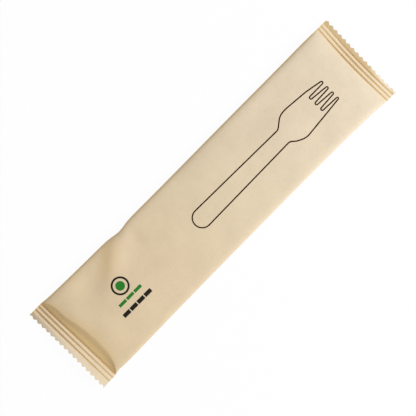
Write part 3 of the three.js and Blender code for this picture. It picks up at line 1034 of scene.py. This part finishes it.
def flexographic_ink(name, hex_colour, gloss):
    """Water-based ink, printed by a rubber plate: matt, thin, and slightly uneven where the
    sheet's fibres take less of it."""
    material, tree = new_material(name)
    place = millimetres(tree)
    uneven = add(tree, "ShaderNodeTexNoise", {"Vector": place},
                 {"Scale": 1 / TOOTH_SIZE, "Detail": 2.0, "Roughness": 0.6})
    share = add(tree, "ShaderNodeMapRange", {0: uneven.outputs[0]},
                {"From Min": INK_NOISE[0], "From Max": INK_NOISE[1], "To Max": INK_LOSS})
    colour = add(tree, "ShaderNodeMix", {"Factor": share.outputs[0]},
                 {COLOUR_A: linear(hex_colour), COLOUR_B: linear(PAPER_UNDER_INK)}, data_type="RGBA")
    shader = add(tree, "ShaderNodeBsdfPrincipled", {"Base Color": colour.outputs[COLOUR_OUT]},
                 {"Roughness": 0.6, "IOR": 1.5, "Specular IOR Level": gloss})
    add(tree, "ShaderNodeOutputMaterial", {"Surface": shader.outputs[0]})
    return material


# View: straight down on the printed face, with the pack's long axis turned towards the upper right
PACK_TURN = math.radians(45.2)
PICTURE_SIDE = 416  # pixels
PIXELS_PER_MM = 2.02
ORIGIN_RIGHT = 5.6  # pixels from the picture's middle to the pack's origin
ORIGIN_UP = 5.0
VIEW_PLANE = 3.0  # mm above the table, where the scale holds
LENS = 100.0
SENSOR = 36.0
NEAREST_SEEN = 0.01  # metres

PICTURE_RIGHT = Vector((math.cos(PACK_TURN), -math.sin(PACK_TURN), 0))
PICTURE_UP = Vector((math.sin(PACK_TURN), math.cos(PACK_TURN), 0))
UP = Vector((0, 0, 1))


def add_camera():
    """The camera, straight above the printed face."""
    distance = PICTURE_SIDE / PIXELS_PER_MM * LENS / SENSOR
    middle = -PICTURE_RIGHT * ORIGIN_RIGHT / PIXELS_PER_MM - PICTURE_UP * ORIGIN_UP / PIXELS_PER_MM
    data = bpy.data.cameras.new("camera")
    data.lens = LENS
    data.sensor_width = SENSOR
    data.clip_start = NEAREST_SEEN
    camera = bpy.data.objects.new("camera", data)
    turn = Matrix((PICTURE_RIGHT, PICTURE_UP, UP)).transposed()
    place = (middle + UP * (VIEW_PLANE + distance)) * MM
    camera.matrix_world = Matrix.Translation(place) @ turn.to_4x4()
    bpy.context.scene.collection.objects.link(camera)
    bpy.context.scene.camera = camera


def seen_directly(tree):
    """1 for a ray from the camera, a reflection or a transmission, and 0 for light on a surface."""
    path = add(tree, "ShaderNodeLightPath").outputs
    camera_or_gloss = add(tree, "ShaderNodeMath",
                          {0: path["Is Camera Ray"], 1: path["Is Glossy Ray"]}, operation="MAXIMUM")
    return add(tree, "ShaderNodeMath",
               {0: camera_or_gloss.outputs[0], 1: path["Is Transmission Ray"]},
               operation="MAXIMUM").outputs[0]


LAMP_DISTANCE = 800.0
LAMP_HEIGHT = math.radians(38)  # above the horizon
LAMP_WIDTH = 400.0
LAMP_POWER = 5.1  # watts
FILL = 0.5  # share of the light on a level surface that comes from all round


def add_lights():
    """A soft lamp at the picture's right, and an even fill from all round."""
    data = bpy.data.lights.new("soft_lamp", "AREA")
    data.shape = "DISK"
    data.size = LAMP_WIDTH * MM
    data.energy = LAMP_POWER
    lamp = bpy.data.objects.new("soft_lamp", data)
    away = PICTURE_RIGHT * math.cos(LAMP_HEIGHT) + UP * math.sin(LAMP_HEIGHT)
    lamp.matrix_world = (Matrix.Translation(away * LAMP_DISTANCE * MM)
                         @ away.to_track_quat("Z", "Y").to_matrix().to_4x4())
    bpy.context.scene.collection.objects.link(lamp)

    world = bpy.data.worlds.new("world")
    world.use_nodes = True
    tree = world.node_tree
    tree.nodes.clear()
    fill = add(tree, "ShaderNodeBackground", values={"Color": linear("#FFFFFF"), "Strength": FILL})
    white = add(tree, "ShaderNodeBackground", values={"Color": linear("#FFFFFF"), "Strength": 1.0})
    mix = add(tree, "ShaderNodeMixShader",
              {0: seen_directly(tree), 1: fill.outputs[0], 2: white.outputs[0]})
    add(tree, "ShaderNodeOutputWorld", {0: mix.outputs[0]})
    bpy.context.scene.world = world


FLOOR_SIDE = 4000.0
FLOOR_DROP = 0.05  # below the pack's flat back, so that the two never fight for a pixel
FLOOR_GLOW = 0.96  # share of plain white that the floor shows, over which its shadow lies


def add_floor():
    """A white table top. It shows white, with the pack's faint shadow."""
    half = FLOOR_SIDE / 2 * MM
    z = -FLOOR_DROP * MM
    mesh = bpy.data.meshes.new("table_top")
    corners = [(-half, -half, z), (half, -half, z), (half, half, z), (-half, half, z)]
    mesh.from_pydata(corners, [], [(0, 1, 2, 3)])
    floor = bpy.data.objects.new("table_top", mesh)
    bpy.context.scene.collection.objects.link(floor)
    material, tree = new_material("white_laminate")
    diffuse = add(tree, "ShaderNodeBsdfDiffuse", values={"Color": linear("#F4F4F4")})
    white = add(tree, "ShaderNodeEmission", values={"Strength": 1.0})
    share = add(tree, "ShaderNodeMath", {0: seen_directly(tree)}, {1: FLOOR_GLOW}, operation="MULTIPLY")
    mix = add(tree, "ShaderNodeMixShader",
              {0: share.outputs[0], 1: diffuse.outputs[0], 2: white.outputs[0]})
    add(tree, "ShaderNodeOutputMaterial", {"Surface": mix.outputs[0]})
    mesh.materials.append(material)


def main():
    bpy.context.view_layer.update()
    add_camera()
    add_lights()
    add_floor()
    sachet, shift = paper_sachet()
    sachet.data.materials.append(kraft_paper())
    brown_ink = flexographic_ink("flexographic_ink_brown", *BROWN_INK)
    black_ink = flexographic_ink("flexographic_ink_black", *BLACK_INK)
    green_ink = flexographic_ink("flexographic_ink_green", *GREEN_INK)
    fork = ink_ribbon(fork_outline(), FORK_LINE, shift, True)
    ring = ink_ribbon(circle(*RING), RING_LINE, shift, True)
    disc = ink_disc(*DISC, shift)
    pieces = [
        (ink_piece("fork_outline_print", [fork]), brown_ink),
        (ink_piece("mark_print_dark", [ring] + dashes(DARK_DASHES, shift)), black_ink),
        (ink_piece("mark_print_green", [disc] + dashes(GREEN_DASHES, shift)), green_ink),
    ]
    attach(sachet, "root")
    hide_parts("wrapped_fork")
    for piece, ink in pieces:
        piece.data.materials.append(ink)
        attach(piece, "root")
    scene = bpy.context.scene
    scene.view_settings.view_transform = "Standard"


main()
